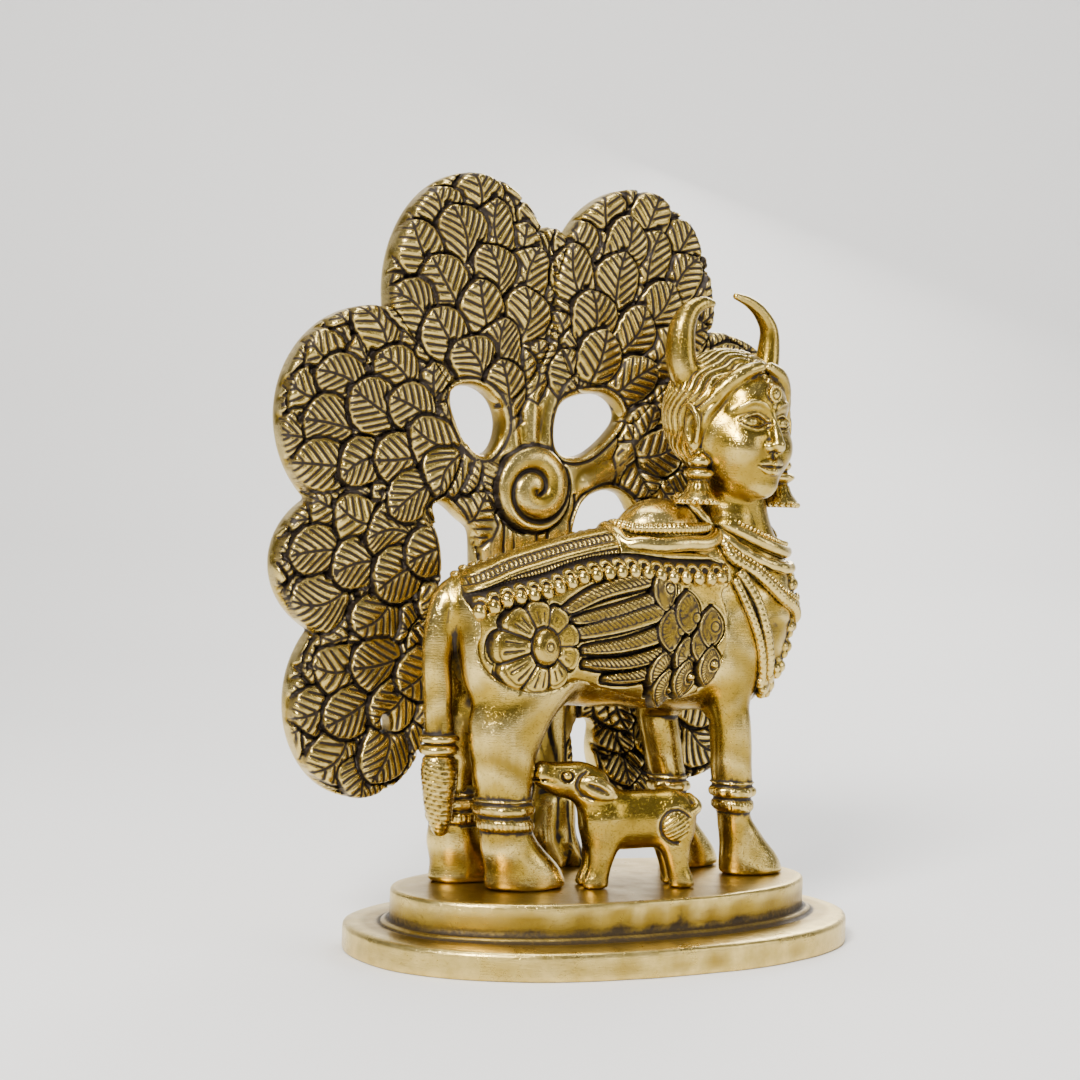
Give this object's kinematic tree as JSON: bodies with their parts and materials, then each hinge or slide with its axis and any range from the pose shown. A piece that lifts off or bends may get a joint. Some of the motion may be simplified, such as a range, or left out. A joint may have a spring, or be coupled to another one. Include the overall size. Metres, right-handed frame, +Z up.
{
  "type": "cast figure group",
  "caption": "Cast brass cow with a human head and wings, standing with her calf before a spreading leafy tree on a stepped oval plinth.",
  "frame": {"origin": "middle of the plinth's flat underside", "axes": "+Z up, +X along the plinth towards the cow's chest, +Y from the viewer towards the tree"},
  "size_m": [0.157, 0.09, 0.1993],
  "materials": {
    "plain_brass": "satin, lightly worn",
    "figure_brass": "satin with dark hollows",
    "leaf_brass": "satin with near-black hollows"
  },
  "bodies": {
    "root": {"plinth": "plain_brass", "cow": "figure_brass", "calf": "figure_brass", "tree": "leaf_brass"}
  },
  "joints": []
}
